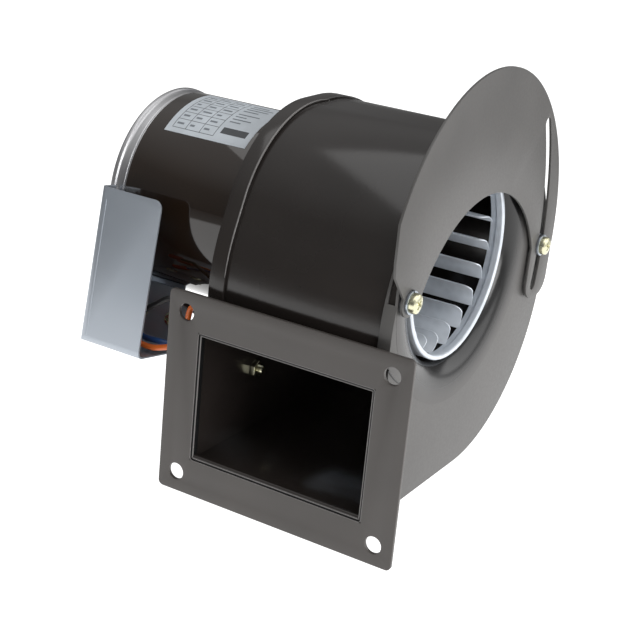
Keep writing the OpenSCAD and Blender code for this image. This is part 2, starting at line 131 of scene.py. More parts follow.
def paint(name, base, rough, spec=0.5, coat=0.0, coat_rough=0.08, peel=0.05, peel_scale=420, dust=0.10, wave=0.0):
    """Sprayed or dipped enamel: slight colour drift, orange peel, settled dust specks, slow sheet waviness."""
    m, t, b = new_mat(name)
    v = coords(t)
    big = noise(t, v, 22, 3)
    fine = noise(t, v, 900, 2)
    speck = noise(t, v, 2600, 1, 0.4)
    lo = tuple(c * 0.86 for c in base)
    hi = tuple(c * 1.16 for c in base)
    col = ramp(t, big, [(0.3, lo), (0.7, hi)])
    dfac = to_range(t, speck, 0.0, dust, 0.70, 0.82)
    col = mix_col(t, dfac, col, tuple(min(1, c * 2.2 + 0.05) for c in base))
    t.links.new(col, b.inputs["Base Color"])
    mixed = t.nodes.new("ShaderNodeMath"); mixed.operation = "MULTIPLY_ADD"
    t.links.new(big, mixed.inputs[0]); mixed.inputs[1].default_value = 0.7
    t.links.new(to_range(t, fine, 0.0, 0.3), mixed.inputs[2])
    t.links.new(to_range(t, mixed.outputs[0], rough * 0.86, rough * 1.16, 0.2, 0.85), b.inputs["Roughness"])
    b.inputs["Specular IOR Level"].default_value = spec
    b.inputs["Coat Weight"].default_value = coat
    b.inputs["Coat Roughness"].default_value = coat_rough
    n1 = bump(t, b, noise(t, v, peel_scale, 2, 0.5), peel, 0.0004)
    if wave:
        bump(t, b, noise(t, v, 28, 1, 0.4), wave, 0.004, n1)
    return m


def metal(name, base, rough, spread=0.10, stretch=(1, 1, 1), grain=900, grain_bump=0.03, blotch=35, tint=None, metallic=1.0, spangle=0.0):
    """Bare or plated metal: fine directional grain, cloudy roughness, faint stain tint, optional zinc spangle."""
    m, t, b = new_mat(name)
    v = coords(t)
    vs = coords(t, stretch)
    cloud = noise(t, v, blotch, 4)
    lines = noise(t, vs, grain, 3, 0.6)
    tint = tint or tuple(c * 0.80 for c in base)
    col = ramp(t, cloud, [(0.28, tint), (0.62, base)])
    if spangle:
        vo = t.nodes.new("ShaderNodeTexVoronoi")
        vo.inputs["Scale"].default_value = 260
        t.links.new(v, vo.inputs["Vector"])
        sp = to_range(t, vo.outputs["Distance"], 0.0, spangle, 0.1, 0.7)
        col = mix_col(t, sp, col, tuple(min(1, c * 1.25) for c in base))
    t.links.new(col, b.inputs["Base Color"])
    add = t.nodes.new("ShaderNodeMath"); add.operation = "MULTIPLY_ADD"
    t.links.new(lines, add.inputs[0]); add.inputs[1].default_value = 0.5
    t.links.new(to_range(t, cloud, 0.0, 0.5), add.inputs[2])
    t.links.new(to_range(t, add.outputs[0], rough - spread, rough + spread, 0.15, 0.85), b.inputs["Roughness"])
    b.inputs["Metallic"].default_value = metallic
    bump(t, b, lines, grain_bump, 0.0002)
    return m


def plastic(name, base, rough, spec=0.5, grain=1400, grain_bump=0.04, sub=0.0):
    m, t, b = new_mat(name)
    v = coords(t)
    col = ramp(t, noise(t, v, 60, 3), [(0.3, tuple(c * 0.85 for c in base)), (0.7, tuple(min(1, c * 1.12) for c in base))])
    t.links.new(col, b.inputs["Base Color"])
    t.links.new(to_range(t, noise(t, v, 300, 2), rough * 0.85, rough * 1.2), b.inputs["Roughness"])
    b.inputs["Specular IOR Level"].default_value = spec
    if sub:
        b.inputs["Subsurface Weight"].default_value = sub
        b.inputs["Subsurface Scale"].default_value = 0.001
    bump(t, b, noise(t, v, grain, 2), grain_bump, 0.0002)
    return m


MATS = {
    "housing_paint": paint("housing_enamel", (0.020, 0.0165, 0.0148), 0.17, spec=0.55, peel=0.035, dust=0.06, wave=0.02),
    # the side-plate enamel (also on the shutter) and the flange enamel are the housing enamel made lighter: painted
    # light for the light falling on their flat faces
    "plate_paint": paint("side_plate_enamel_painted_light", (0.072, 0.069, 0.066), 0.46, spec=0.55, peel=0.05, dust=0.05, wave=0.015),
    "flange_paint": paint("flange_enamel_painted_light", (0.050, 0.044, 0.040), 0.38, spec=0.55, peel=0.06, dust=0.08, wave=0.03),
    "motor_paint": paint("motor_gloss_enamel", (0.016, 0.009, 0.005), 0.07, spec=0.5, coat=0.5, coat_rough=0.02, peel=0.012, peel_scale=200, dust=0.02, wave=0.02),
    "venturi_paint": paint("venturi_enamel", (0.009, 0.009, 0.0092), 0.20, spec=0.40, peel=0.03, dust=0.03),
    # lighter enamel laid along edges as painted highlights: the outlet lip, the flange's opening and the rim's corner
    "edge_paint": paint("edge_painted_highlight_enamel", (0.15, 0.142, 0.138), 0.26, spec=0.6, peel=0.04, dust=0.25),
    "cap_steel": metal("cap_satin_steel", (0.52, 0.52, 0.53), 0.36, 0.10, stretch=(30, 1, 1), grain=160, grain_bump=0.02, tint=(0.36, 0.36, 0.38)),
    "zinc_plate": metal("bright_zinc", (0.48, 0.52, 0.57), 0.34, 0.08, grain=500, grain_bump=0.015, tint=(0.40, 0.44, 0.50)),
    "box_zinc": metal("box_zinc_sheet", (0.42, 0.455, 0.50), 0.34, 0.06, grain=300, grain_bump=0.01, blotch=14, tint=(0.38, 0.42, 0.47), metallic=0.6),
    "galvanised": metal("galvanised_sheet", (0.66, 0.70, 0.75), 0.46, 0.10, grain=700, grain_bump=0.03, spangle=0.35, tint=(0.56, 0.60, 0.65), metallic=0.45),
    "yellow_zinc": metal("yellow_zinc", (0.78, 0.76, 0.52), 0.26, 0.10, grain=1200, grain_bump=0.03, tint=(0.62, 0.60, 0.44)),
    "shaft_steel": metal("ground_steel", (0.62, 0.62, 0.64), 0.24, 0.08, stretch=(40, 1, 1), grain=200),
    "lamination": metal("lamination_steel", (0.25, 0.26, 0.28), 0.45, 0.10, stretch=(60, 1, 1), grain=60, grain_bump=0.4),
    "winding": metal("enamelled_copper", (0.66, 0.28, 0.12), 0.30, 0.10, stretch=(1, 8, 8), grain=300, grain_bump=0.4),
    "bronze": metal("sintered_bronze", (0.62, 0.44, 0.26), 0.48, 0.10, grain=2200, grain_bump=0.12),
    "rotor_aluminium": metal("cast_aluminium", (0.72, 0.73, 0.74), 0.42, 0.10, grain=900, grain_bump=0.10),
    "felt": plastic("oil_felt", (0.62, 0.55, 0.42), 0.95, spec=0.1, grain=2400, grain_bump=0.9),
    "insulation": plastic("insulation_board", (0.74, 0.71, 0.62), 0.65, spec=0.3),
    "black_rubber": plastic("grommet_rubber", (0.018, 0.018, 0.018), 0.55, spec=0.35),
    "orange_wire": plastic("orange_insulation", (0.80, 0.17, 0.03), 0.34),
    "black_wire": plastic("black_insulation", (0.014, 0.013, 0.013), 0.34),
    "blue_wire": plastic("blue_insulation", (0.02, 0.08, 0.26), 0.34),
    "red_plastic": plastic("connector_plastic", (0.50, 0.03, 0.025), 0.38, sub=0.05),
    "black_oxide": metal("black_oxide_steel", (0.06, 0.06, 0.065), 0.38, 0.08, grain=900),
    "label_foil": plastic("label_foil", (0.50, 0.54, 0.58), 0.34, spec=0.5, grain=900, grain_bump=0.01),
    "label_ink": plastic("label_ink", (0.05, 0.055, 0.06), 0.45),
    "label_ink_pale": plastic("label_ink_pale", (0.16, 0.18, 0.20), 0.45),
}


def roll_paint():
    """The rolled inlet: the plate's colour at the outer edge, darker and glossier towards the throat, tuned; the
    darkening towards the throat is painted shade.
    """
    m, t, b = new_mat("inlet_roll_painted_shade_enamel")
    v = coords(t)
    off = t.nodes.new("ShaderNodeVectorMath"); off.operation = "SUBTRACT"
    off.inputs[1].default_value = (0.0, AY * MM, AZ * MM)
    flat = t.nodes.new("ShaderNodeVectorMath"); flat.operation = "MULTIPLY"
    flat.inputs[1].default_value = (0.0, 1.0, 1.0)
    far = t.nodes.new("ShaderNodeVectorMath"); far.operation = "LENGTH"
    t.links.new(v, off.inputs[0]); t.links.new(off.outputs[0], flat.inputs[0]); t.links.new(flat.outputs[0], far.inputs[0])
    share = to_range(t, far.outputs["Value"], 0.0, 1.0, 0.0455, 0.0541)
    big = noise(t, v, 22, 3)
    plate = ramp(t, big, [(0.3, (0.062, 0.059, 0.057)), (0.7, (0.0835, 0.080, 0.0766))])
    # painted shade: near-black colour at the throat
    throat_painted_shade = ramp(t, big, [(0.3, (0.005, 0.005, 0.0052)), (0.7, (0.009, 0.009, 0.0094))])
    t.links.new(mix_col(t, share, throat_painted_shade, plate), b.inputs["Base Color"])
    t.links.new(to_range(t, far.outputs["Value"], 0.19, 0.46, 0.0455, 0.0541), b.inputs["Roughness"])
    b.inputs["Specular IOR Level"].default_value = 0.45
    bump(t, b, noise(t, v, 420, 2, 0.5), 0.04, 0.0004)
    return m


MATS["roll_paint"] = roll_paint()


def set_mat(o, m):
    o.data.materials.clear()
    o.data.materials.append(m)


for n, o in NODES.items():
    set_mat(o, MATS[SLOT_OF[n]])
    o.data.shade_smooth()
    o.data.set_sharp_from_angle(angle=math.radians(28))


# ------------------------------------------------------------------ mesh helpers
def add_obj(name, mesh, body, mat, node=None, auto=30):
    o = bpy.data.objects.new(name, mesh)
    bpy.context.scene.collection.objects.link(o)
    set_mat(o, mat)
    mesh.shade_smooth()
    mesh.set_sharp_from_angle(angle=math.radians(auto))
    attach(o, body)
    if node:
        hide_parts(*(node if isinstance(node, (list, tuple)) else [node]))
    return o


def from_pydata(name, verts, faces):
    me = bpy.data.meshes.new(name)
    me.from_pydata([tuple(v) for v in verts], [], faces)
    me.update()
    bm = bmesh.new(); bm.from_mesh(me)
    bmesh.ops.remove_doubles(bm, verts=bm.verts, dist=1e-7)
    bmesh.ops.recalc_face_normals(bm, faces=bm.faces)
    bm.to_mesh(me); bm.free()
    return me


def fan(x, y, z):
    """Fan-axis millimetres to row-frame metres."""
    return Vector((x * MM, (y + AY) * MM, (z + AZ) * MM))


def turned(profile, n=128, y=0.0, z=0.0, closed=True):
    """Closed (x, r) profile turned about an axis along X at (y, z) from the fan axis."""
    vs, fs, k = [], [], len(profile)
    for i in range(n):
        a = 2 * math.pi * i / n
        for x, r in profile:
            vs.append(fan(x, y + r * math.cos(a), z + r * math.sin(a)))
    m = k if closed else k - 1
    for i in range(n):
        j = (i + 1) % n
        for p in range(m):
            q = (p + 1) % k
            fs.append((i * k + p, j * k + p, j * k + q, i * k + q))
    return vs, fs


def round_corners(pts, rad, seg=4, closed=True):
    """Rounds the corners of a 2D outline. rad is one radius or one per point."""
    out, n = [], len(pts)
    for i, p in enumerate(pts):
        r = rad[i] if hasattr(rad, "__len__") else rad
        if (not closed and i in (0, n - 1)) or r <= 0:
            out.append(tuple(p)); continue
        a, b, c = Vector(pts[i - 1]), Vector(p), Vector(pts[(i + 1) % n])
        u, w = (a - b), (c - b)
        lu, lw = u.length, w.length
        if lu < 1e-9 or lw < 1e-9:
            out.append(tuple(p)); continue
        u /= lu; w /= lw
        ang = math.acos(max(-1, min(1, u.dot(w))))
        if ang > math.radians(176):
            out.append(tuple(p)); continue
        d = min(r / math.tan(ang / 2), lu * 0.49, lw * 0.49)
        p0, p1 = b + u * d, b + w * d
        for s in range(seg + 1):
            t = s / seg
            out.append(tuple(p0 * (1 - t) ** 2 + b * 2 * t * (1 - t) + p1 * t ** 2))
    return out


def catmull(pts, per=8):
    P = [Vector(p) for p in pts]
    P = [P[0] * 2 - P[1]] + P + [P[-1] * 2 - P[-2]]
    out = []
    for i in range(1, len(P) - 2):
        for s in range(per):
            t = s / per
            a, b, c, d = P[i - 1], P[i], P[i + 1], P[i + 2]
            out.append(0.5 * ((2 * b) + (c - a) * t + (2 * a - 5 * b + 4 * c - d) * t * t + (3 * b - a - 3 * c + d) * t ** 3))
    out.append(P[-2])
    return out


def tube(path, rad, sides=20, cap=True):
    """Round tube along a path of row-frame points, in metres; rad is a number or a function of arc share."""
    vs, fs = [], []
    n = len(path)
    tan = [(path[min(i + 1, n - 1)] - path[max(i - 1, 0)]).normalized() for i in range(n)]
    up = tan[0].orthogonal().normalized()
    for i, p in enumerate(path):
        up = (up - tan[i] * up.dot(tan[i])).normalized()
        sd = tan[i].cross(up)
        r = rad(i / (n - 1)) if callable(rad) else rad
        for s in range(sides):
            a = 2 * math.pi * s / sides
            vs.append(p + up * (r * math.cos(a)) + sd * (r * math.sin(a)))
    for i in range(n - 1):
        for s in range(sides):
            q = (s + 1) % sides
            fs.append((i * sides + s, i * sides + q, (i + 1) * sides + q, (i + 1) * sides + s))
    if cap:
        fs.append(tuple(range(sides)))
        fs.append(tuple(range((n - 1) * sides, n * sides)))
    return vs, fs


def cad_copy(node, name, mat, bevel=0.25, seg=2, limit=32, edit=None, dissolve=0.6):
    """A detailed copy of a CAD node: flat faces merged, chosen edges bent or rounded, all sharp edges broken."""
    src = NODES[node]
    me = src.data.copy()
    me.name = name
    bm = bmesh.new(); bm.from_mesh(me)
    bmesh.ops.remove_doubles(bm, verts=bm.verts, dist=2e-6)
    bmesh.ops.dissolve_limit(bm, angle_limit=math.radians(dissolve), verts=bm.verts, edges=bm.edges, delimit=set())
    if edit:
        edit(bm)
    if bevel:
        es = [e for e in bm.edges if len(e.link_faces) == 2 and e.calc_face_angle(0) > math.radians(limit)]
        bmesh.ops.bevel(bm, geom=es, offset=bevel * MM, offset_type="OFFSET", segments=seg, profile=0.5, affect="EDGES", clamp_overlap=True)
    bmesh.ops.triangulate(bm, faces=[f for f in bm.faces if len(f.verts) > 4])
    bm.to_mesh(me); bm.free()
    me.attributes.remove(me.attributes["custom_normal"]) if "custom_normal" in me.attributes else None
    return add_obj(name, me, BODY_OF[node], mat, node, auto=34)


# ------------------------------------------------------------------ housing sheets
cad_copy("scroll_wrapper", "scroll_wrapper_sheet", MATS["housing_paint"], 0.2)
cad_copy("motor_side_plate", "motor_side_plate_sheet", MATS["housing_paint"], 0.45, seg=3)
def drop_roll(bm):
    """Leaves the rolled inlet out of the flat plate's copy; the turned skin below stands for it."""
    def on_roll(co):
        r = math.hypot(co.y * 1000 - AY, co.z * 1000 - AZ)
        if r > 54.2:
            return False
        cu = math.sqrt(max(0.0, 1 - min(1.0, max(0.0, (54.06 - r) / 14.56)) ** 2))
        x = co.x * 1000
        return min(abs(x - 38.1 + 6.0 * (1 - cu)), abs(x - 37.2 + 5.1 * (1 - cu))) < 0.22 or (r < 41.5 and x < 37)
    gone = [f for f in bm.faces if all(on_roll(v.co) for v in f.verts) and len(f.verts) < 12]
    bmesh.ops.delete(bm, geom=gone, context="FACES")


cad_copy("inlet_side_plate", "inlet_side_plate_sheet", MATS["plate_paint"], 0.35, seg=3, edit=drop_roll)
roll_out = [(38.15 - 6.0 * (1 - math.cos(math.radians(u))), 54.06 - 14.56 * math.sin(math.radians(u))) for u in range(0, 91, 5)]
roll_in = [(37.2 - 5.1 * (1 - math.cos(math.radians(u))), 54.06 - 13.66 * math.sin(math.radians(u))) for u in range(90, -1, -6)]
vs, fs = turned(roll_out + [(32.15, 39.62), (32.12, 40.2)] + roll_in, 192)
# the turned skin of the roll carries painted shade, darker towards the throat
venturi = add_obj("inlet_venturi_roll", from_pydata("inlet_venturi_roll", vs, fs), "housing", MATS["roll_paint"], None, auto=60)
cad_copy("outlet_flange", "outlet_flange_plate", MATS["flange_paint"], 0.35, seg=3)
cad_copy("cutoff_tongue", "cutoff_tongue_sheet", MATS["housing_paint"], 0.2)
cad_copy("shutter_plate", "shutter_plate_sheet", MATS["plate_paint"], 0.22, seg=2)

# ------------------------------------------------------------------ motor
cad_copy("motor_shell", "motor_shell_can", MATS["motor_paint"], 0.25)
cap_profile = round_corners([(-91.5, 37.8), (-91.5, 39.35), (-92.1, 39.4), (-92.35, 39.05), (-92.6, 39.4), (-95.3, 39.4), (-95.9, 39.55), (-96.3, 40.3), (-97.4, 40.4), (-98.3, 39.9), (-98.5, 38.9), (-98.45, 37.2), (-97.5, 36.3), (-97.45, 30), (-97.0, 28.6), (-96.95, 12), (-97.8, 10.6), (-97.85, 0.02), (-96.7, 0.02), (-96.7, 37.8)], 0.35, 3)
vs, fs = turned(cap_profile, 144)
add_obj("motor_end_cap_spun", from_pydata("motor_end_cap_spun", vs, fs), "housing", MATS["cap_steel"], "motor_end_cap", auto=40)

# ------------------------------------------------------------------ wheel
cad_copy("wheel_blades", "wheel_blades_curved", MATS["galvanised"], 0.12, seg=2, limit=40)
ring = round_corners([(29.4, 37.2), (31.4, 37.2), (31.9, 36.75), (32.4, 36.3), (34.6, 36.25), (35.1, 36.6), (35.1, 37.8), (34.7, 38.15), (32.6, 38.1), (32.3, 37.9), (29.4, 38.1)], 0.25, 3)
vs, fs = turned(ring, 160)
add_obj("wheel_end_ring_rolled", from_pydata("wheel_end_ring_rolled", vs, fs), "rotor", MATS["galvanised"], "wheel_end_ring", auto=40)
cad_copy("wheel_back_plate", "wheel_back_plate_disc", MATS["galvanised"], 0.25)
cad_copy("wheel_hub", "wheel_hub_turned", MATS["zinc_plate"], 0.4, seg=3)

# ------------------------------------------------------------------ screws, nuts, washers
def phillips(name, x0, y, z, s, rh, hh, rs, length, body, node, spin=0.0):
    """Pan-head Phillips screws along X. Several places may be given, as one piece."""
    V, F = [], []
    for (xx, yy, zz) in [(x0[i], y[i], z[i]) for i in range(len(y))]:
        base = len(V)
        rings, na = 26, 72
        for i in range(rings + 1):
            r = rh * i / rings
            for k in range(na):
                a = 2 * math.pi * k / na
                dome = hh * (1 - 0.30 * (r / rh) ** 2.4) if r < rh * 0.93 else hh * (0.70 - 0.25 * ((r / rh - 0.93) / 0.07) ** 2)
                cy, cz = r * math.cos(a + spin), r * math.sin(a + spin)
                arm = rh * 0.52
                wid = rh * 0.115
                d = 0.0
                for (u, w) in ((cy, cz), (cz, cy)):
                    fu = max(0.0, min(1.0, (arm - abs(u)) / (rh * 0.10)))
                    fw = max(0.0, min(1.0, (wid - abs(w)) / (rh * 0.05) + 0.5))
                    d = max(d, fu * fw)
                d = max(d, max(0.0, 1 - (r / (rh * 0.24)) ** 2) * 1.25)
                h = dome - d * hh * 0.42
                V.append(fan(xx + s * h, yy + r * math.cos(a), zz + r * math.sin(a)))
        for i in range(rings):
            for k in range(na):
                q = (k + 1) % na
                F.append((base + i * na + k, base + i * na + q, base + (i + 1) * na + q, base + (i + 1) * na + k))
        last = base + rings * na
        prof = [(0.0, rh), (0.0, rs)]
        # shank with shallow thread ridges
        pts = [(0.05 * hh, rh), (0.0, rh * 0.97), (0.0, rs)]
        turns = int(length / 0.5)
        for j in range(turns):
            pts.append((-0.5 * j - 0.18, rs))
            pts.append((-0.5 * j - 0.42, rs * 0.86))
        pts.append((-length, rs * 0.8)); pts.append((-length, 0.01))
        prev = last
        for (px_, pr) in pts:
            cur = len(V)
            for k in range(na):
                a = 2 * math.pi * k / na
                V.append(fan(xx + s * px_, yy + pr * math.cos(a), zz + pr * math.sin(a)))
            for k in range(na):
                q = (k + 1) % na
                F.append((prev + k, prev + q, cur + q, cur + k))
            prev = cur
    return add_obj(name, from_pydata(name, V, F), body, MATS["yellow_zinc"], node, auto=38)


PIV, CLP = (-48.5, -2.5), (65.5, -7.0)
phillips("shutter_screws_phillips", [41.2, 41.2], [PIV[0], CLP[0]], [PIV[1], CLP[1]], 1, 3.7, 2.6, 2.0, 8.0, "housing", "shutter_screws", spin=0.5)
phillips("ground_screw_phillips", [-38.1], [-21], [-57.6], -1, 3.6, 2.4, 2.05, 5.4, "housing", "ground_screw")

# split lock washers, one under each shutter screw head
V, F = [], []
for q in (PIV, CLP):
    base = len(V)
    n, prof = 60, round_corners([(40.16, 2.02), (40.16, 4.35), (41.15, 4.35), (41.15, 2.02)], 0.15, 2)
    k = len(prof)
    for i in range(n + 1):
        a = math.radians(96) + math.radians(350) * i / n
        lift = 0.0
        for (x, r) in prof:
            V.append(fan(x, q[0] + r * math.cos(a), q[1] + r * math.sin(a)))
    for i in range(n):
        for p in range(k):
            w = (p + 1) % k
            F.append((base + i * k + p, base + (i + 1) * k + p, base + (i + 1) * k + w, base + i * k + w))
    F.append(tuple(base + p for p in range(k)))
    F.append(tuple(base + n * k + p for p in range(k)))
add_obj("shutter_lock_washers", from_pydata("shutter_lock_washers", V, F), "housing", MATS["zinc_plate"], "shutter_washers")
cad_copy("shutter_spacers", "shutter_spacer_rings", MATS["zinc_plate"], 0.12)
cad_copy("shutter_nuts", "shutter_nuts_clinch", MATS["zinc_plate"], 0.2)
cad_copy("ground_nut", "ground_nut_hex", MATS["yellow_zinc"], 0.3, seg=3)

# ------------------------------------------------------------------ wiring box
def box_bends(bm):
    """The long folds of the sheet are rounded: 2.4 mm outside, 1.6 mm inside."""
    rot = Matrix.Rotation(math.radians(9.3), 4, "X")
    def local(v):
        p = rot @ Vector((v.co.x * 1000, v.co.y * 1000 - AY, v.co.z * 1000 - AZ))
        return p
    outer, inner = [], []
    for e in bm.edges:
        a, b = local(e.verts[0]), local(e.verts[1])
        m = (a + b) / 2
        if (a - b).length < 5:
            continue
        if abs(a.x - b.x) < 0.05 and abs(a.y - b.y) < 0.05:      # upright folds
            if abs(m.x + 95.5) < 0.05 and abs(m.y + 49.8) < 0.05: outer.append(e)
            if abs(m.x + 94.7) < 0.05 and abs(m.y + 49.0) < 0.05: inner.append(e)
        if abs(a.z - b.z) < 0.05 and abs(a.y - b.y) < 0.05:      # folds of the floor
            if abs(m.z + 60.4) < 0.05 and (abs(m.y + 49.8) < 0.05 or abs(m.y + 20.0) < 0.05): outer.append(e)
            if abs(m.z + 59.6) < 0.05 and (abs(m.y + 49.0) < 0.05 or abs(m.y + 20.8) < 0.05): inner.append(e)
    bmesh.ops.bevel(bm, geom=outer, offset=3.2 * MM, offset_type="OFFSET", segments=8, profile=0.5, affect="EDGES", clamp_overlap=True)
    inner = [e for e in inner if e.is_valid]
    bmesh.ops.bevel(bm, geom=inner, offset=2.4 * MM, offset_type="OFFSET", segments=6, profile=0.5, affect="EDGES", clamp_overlap=True)


cad_copy("wiring_box", "wiring_box_folded", MATS["box_zinc"], 0.15, seg=2, edit=box_bends)
cad_copy("wiring_bracket", "wiring_bracket_sheet", MATS["zinc_plate"], 0.15)
cad_copy("wiring_box_screws", "wiring_box_screw_heads", MATS["yellow_zinc"], 0.12)
cad_copy("lead_grommet", "lead_grommet_moulded", MATS["black_rubber"], 0.5, seg=3)
cad_copy("wire_connectors", "wire_connectors_moulded", MATS["red_plastic"], 0.5, seg=3)


def gr(a, out):
    y0 = -39.5 - 1.6 + out
    dx, dz = -2.2 * math.sin(math.radians(120 * a + 30)), -2.2 * math.cos(math.radians(120 * a + 30))
    c, s = math.cos(math.radians(68)), math.sin(math.radians(68))
    return (-45.3 + dx, y0 * c - dz * s, y0 * s + dz * c)


LEADS = {
    "lead_orange": ([gr(1, 6), gr(1, 3), gr(1, 0), gr(1, -2.5), (-45.6, -21.5, -45.5), (-45.4, -29, -47), (-45.4, -37, -42.5), (-46, -42.6, -34.5), (-47.6, -45.6, -29.2), (-50.8, -47, -29.2), (-52.2, -47, -34), (-52.8, -46.6, -40), (-55.8, -46.8, -45.6), (-62, -47.6, -48.3), (-68, -48, -49.8), (-74, -47.6, -49.7), (-78.5, -46.9, -49.1), (-81.5, -46.4, -48.7)], "orange_wire"),
    "lead_black": ([gr(0, 6), gr(0, 3), gr(0, 0), gr(0, -2.5), (-49, -19, -45.5), (-53.5, -26.5, -42), (-59, -34.5, -35.5), (-65, -40.2, -31), (-71, -43.4, -34.5), (-76, -44.6, -38), (-80, -45, -39.8), (-83, -45.1, -40.6)], "black_wire"),
    "lead_blue": ([gr(2, 6), gr(2, 3), gr(2, 0), gr(2, -2.5), (-44.5, -21, -48.5), (-47, -27, -53), (-53, -34, -53.2), (-60, -41, -49.4), (-67, -44.5, -48), (-75, -42, -49.5), (-81, -39.3, -49.8), (-84, -38, -50)], "blue_wire"),
}
for node, (pts, slot) in LEADS.items():
    path = catmull([fan(*p) for p in pts], 10)
    vs, fs = tube(path, 1.15 * MM, 24)
    add_obj(node + "_flex", from_pydata(node, vs, fs), "housing", MATS[slot], node)

# ------------------------------------------------------------------ label: foil with a blank printed table
def label_patch(name, x0, x1, a0, a1, r0, r1, mat, node=None, slot=None, nx=2, na=24):
    V, F = [], []
    for side, r in ((0, r0), (1, r1)):
        for i in range(na + 1):
            a = math.radians(a0 + (a1 - a0) * i / na)
            for j in range(nx + 1):
                V.append(fan(x0 + (x1 - x0) * j / nx, r * math.cos(a), r * math.sin(a)))
    w = nx + 1
    top = (na + 1) * w
    for i in range(na):
        for j in range(nx):
            F.append((i * w + j, i * w + j + 1, (i + 1) * w + j + 1, (i + 1) * w + j))
            F.append((top + i * w + j, top + (i + 1) * w + j, top + (i + 1) * w + j + 1, top + i * w + j + 1))
    for i in range(na):
        for j in (0, nx):
            F.append((i * w + j, (i + 1) * w + j, top + (i + 1) * w + j, top + i * w + j))
    for i in (0, na):
        for j in range(nx):
            F.append((i * w + j, i * w + j + 1, top + i * w + j + 1, top + i * w + j))
    return V, F


vs, fs = label_patch("label", -84, -46.5, 84, 131, 39.5, 39.60, None)
add_obj("motor_label_foil", from_pydata("motor_label_foil", vs, fs), "housing", MATS["label_foil"], "motor_label", auto=50)
INK, PALE = [], []
def bar(store, x0, x1, a0, a1):
    v, f = label_patch("", x0, x1, a0, a1, 39.595, 39.615, None, na=max(1, int(abs(a1 - a0) / 2)))
    store.append((v, f))
# table frame and rules, in degrees round the can and mm along it
for a in (88.0, 94.5, 101.0, 107.5, 114.0, 120.5, 127.5):
    bar(INK, -81.5, -62.5, a - 0.18, a + 0.18)
for x in (-81.5, -75.5, -69.0, -62.5):
    bar(INK, x - 0.12, x + 0.12, 88, 127.5)
rnd = random.Random(5)
for i, a in enumerate((91.2, 97.7, 104.2, 110.7, 117.2, 124.0)):
    for x0, x1 in ((-80.6, -76.4), (-74.6, -70.0), (-68.1, -63.6)):
        L = (x1 - x0) * (0.45 + 0.5 * rnd.random())
        bar(PALE, x0, x0 + L, a - 0.75, a + 0.75)
for a in (90, 93.4, 96.8, 100.2):
    bar(PALE, -60.5, -60.5 + 6 + 5 * rnd.random(), a - 0.6, a + 0.6)
bar(INK, -60.5, -49.0, 119.5, 124.5)
for a in (105, 108, 111, 114):
    bar(PALE, -60.5, -60.5 + 4 + 7 * rnd.random(), a - 0.5, a + 0.5)
for nm, store, mt in (("label_rules", INK, "label_ink"), ("label_bars", PALE, "label_ink_pale")):
    V, F = [], []
    for v, f in store:
        b0 = len(V); V += v; F += [tuple(i + b0 for i in q) for q in f]
    me = bpy.data.meshes.new(nm); me.from_pydata([tuple(q) for q in V], [], F); me.update()
    add_obj(nm, me, "housing", MATS[mt], None)

# ------------------------------------------------------------------ small seams and lips
def frame_loop(name, corners, rad, profile, body, mat, node=None):
    """A closed mitred frame with rounded corners in a plane of constant Y; profile is (inwards, y) in mm."""
    loop = round_corners(corners, rad, 6)
    n = len(loop)
    V, F = [], []
    for i in range(n):
        a, b, c = Vector(loop[i - 1]), Vector(loop[i]), Vector(loop[(i + 1) % n])
        t = ((b - a).normalized() + (c - b).normalized()).normalized()
        inw = Vector((-t.y, t.x))
        for (d, y) in profile:
            q = b + inw * d
            V.append(Vector((q.x, y, q.y)) * MM)
    k = len(profile)
    for i in range(n):
        j = (i + 1) % n
        for p in range(k):
            q = (p + 1) % k
            F.append((i * k + p, j * k + p, j * k + q, i * k + q))
    return add_obj(name, from_pydata(name, V, F), body, mat, node, auto=60)


# sheet edge of the duct just inside the flange's opening, in darker enamel as painted shade in the gap, with a painted
# highlight along its front edge and a folded bottom; a painted highlight also runs round the flange's opening edge
ow, oh = 37.2, 25.6
frame_loop("outlet_lip", [(-ow, -oh), (ow, -oh), (ow, oh), (-ow, oh)], 1.6,
           round_corners([(-0.05, 0.6), (1.15, 0.6), (1.15, 3.2), (-0.05, 3.2)], 0.2, 3), "housing", MATS["venturi_paint"])
frame_loop("outlet_lip_edge", [(-ow, -oh), (ow, -oh), (ow, oh), (-ow, oh)], 1.6,
           round_corners([(0.85, 0.42), (1.2, 0.42), (1.2, 0.9), (0.85, 0.9)], 0.12, 3), "housing", MATS["edge_paint"])
frame_loop("flange_opening_edge", [(-ow, -oh), (ow, -oh), (ow, oh), (-ow, oh)], 1.4,
           round_corners([(-0.05, 0.03), (0.16, 0.03), (0.16, 0.4), (-0.05, 0.4)], 0.06, 3), "housing", MATS["edge_paint"])
vs, fs = tube([Vector((x * MM, 1.45 * MM, (-oh + 1.25) * MM)) for x in [-36.6 + 1.22 * i for i in range(61)]], 1.05 * MM, 16)
add_obj("outlet_lip_fold", from_pydata("outlet_lip_fold", vs, fs), "housing", MATS["housing_paint"], None, auto=60)

# painted highlight on the corner of the motor-side rim, from the top of the scroll round to the front
rim = []
for a_ in range(78, 158, 4):
    rim.append(fan(-31.75, -0.5 + 49.72 * math.cos(math.radians(a_)), -2.1 + 49.72 * math.sin(math.radians(a_))))
for a_ in range(158, 176, 3):
    rim.append(fan(-31.75, 10.5 + 66.12 * math.cos(math.radians(a_)), -18.5 + 66.12 * math.sin(math.radians(a_))))
vs, fs = tube(catmull(rim, 4), lambda t: (0.10 + 0.30 * math.sin(math.pi * min(1.0, max(0.0, t))) ** 0.6) * MM, 12)
add_obj("rim_painted_highlight", from_pydata("rim_painted_highlight", vs, fs), "housing", MATS["edge_paint"], None, auto=60)


def on_box(x, y, z):
    c, s_ = math.cos(math.radians(-9.3)), math.sin(math.radians(-9.3))
    return fan(x, y * c - z * s_, y * s_ + z * c)


